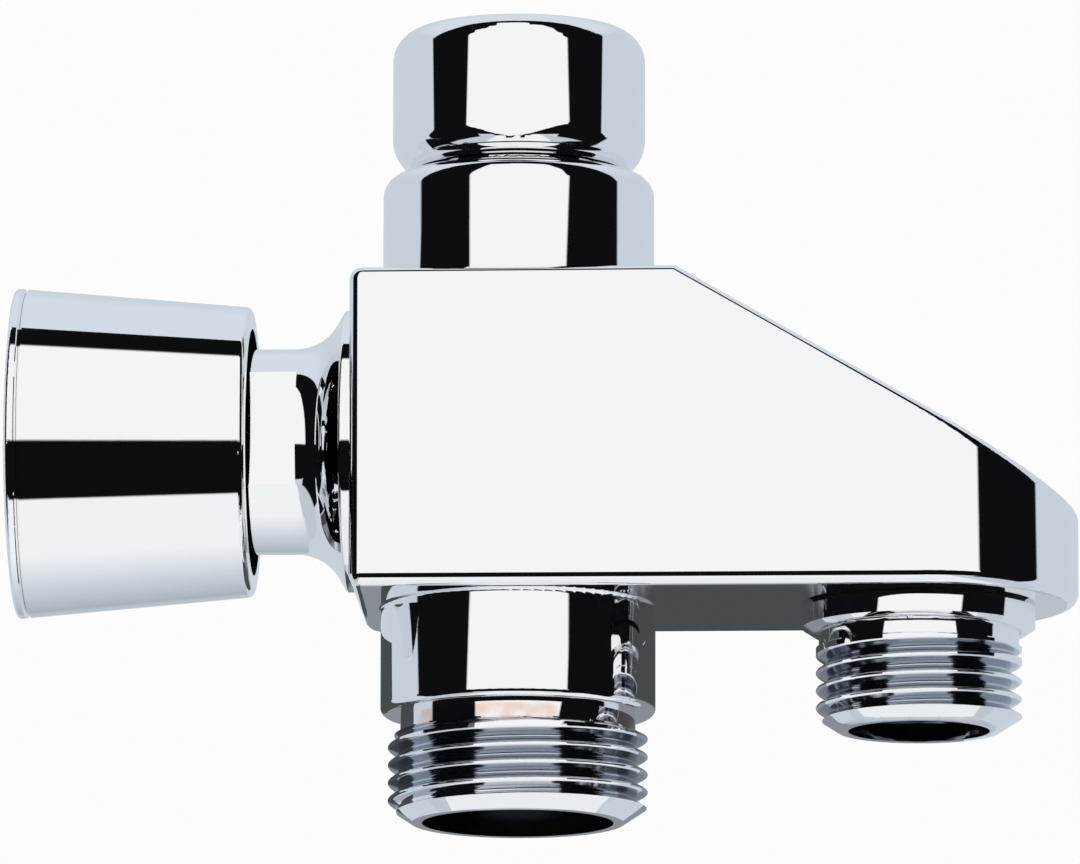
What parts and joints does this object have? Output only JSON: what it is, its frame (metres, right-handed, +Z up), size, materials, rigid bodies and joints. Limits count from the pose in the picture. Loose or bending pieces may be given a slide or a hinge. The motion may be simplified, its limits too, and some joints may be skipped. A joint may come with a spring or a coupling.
{
  "type": "shower diverter valve",
  "caption": "Chromed shower diverter valve with a turning knob, a union nut on top for the riser, a lower inlet thread and a hose outlet under a sloping nose.",
  "frame": {"origin": "centre of the lower spigot's end face, on the axis of the lower port and the riser", "axes": "+Z up along the riser, +X towards the hose outlet with the knob at -X, the flat front faces -Y"},
  "size_m": [0.1094, 0.0338, 0.0817],
  "materials": {
    "chrome": "polished chrome plate on brass",
    "brass": "turned",
    "steel": "bright stainless",
    "rubber": "matte moulded",
    "ceramic": "lapped",
    "pale_plastic": "moulded",
    "dark_plastic": "moulded"
  },
  "bodies": {
    "housing": {"valve_body": "chrome", "bonnet": "chrome", "hose_nipple": "chrome", "retaining_ring": "steel", "stop_pin": "steel", "check_spring": "steel", "riser_gasket": "rubber", "bonnet_seal": "rubber", "sleeve_o_rings": "rubber", "seat_gasket": "rubber", "nipple_gasket": "rubber", "check_o_ring": "rubber", "seat_disc": "ceramic", "sleeve": "pale_plastic", "thrust_washer": "pale_plastic", "check_housing": "dark_plastic"},
    "knob": {"knob": "chrome", "knob_cap": "chrome", "knob_screw": "steel", "spindle": "brass", "spindle_o_rings": "rubber", "circlip": "steel", "rotor": "pale_plastic", "moving_disc": "ceramic"},
    "riser_nut": {"riser_nut": "chrome"},
    "check_poppet": {"check_poppet": "dark_plastic", "poppet_seal": "rubber"}
  },
  "joints": [
    {"name": "knob_turn", "type": "hinge", "parent": "housing", "child": "knob", "pos_m": [-0.03, 0, 0.03837], "axis": [1, 0, 0], "range_deg": [0, 90]},
    {"name": "nut_turn", "type": "hinge", "parent": "housing", "child": "riser_nut", "pos_m": [0, 0, 0.0744], "axis": [0, 0, 1], "continuous": true},
    {"name": "check_lift", "type": "slide", "parent": "housing", "child": "check_poppet", "axis": [0, 0, -1], "range_m": [0, 0.0025], "stiffness_N_per_m": 150, "springref_m": -0.003, "deforming": ["check_spring"]}
  ]
}
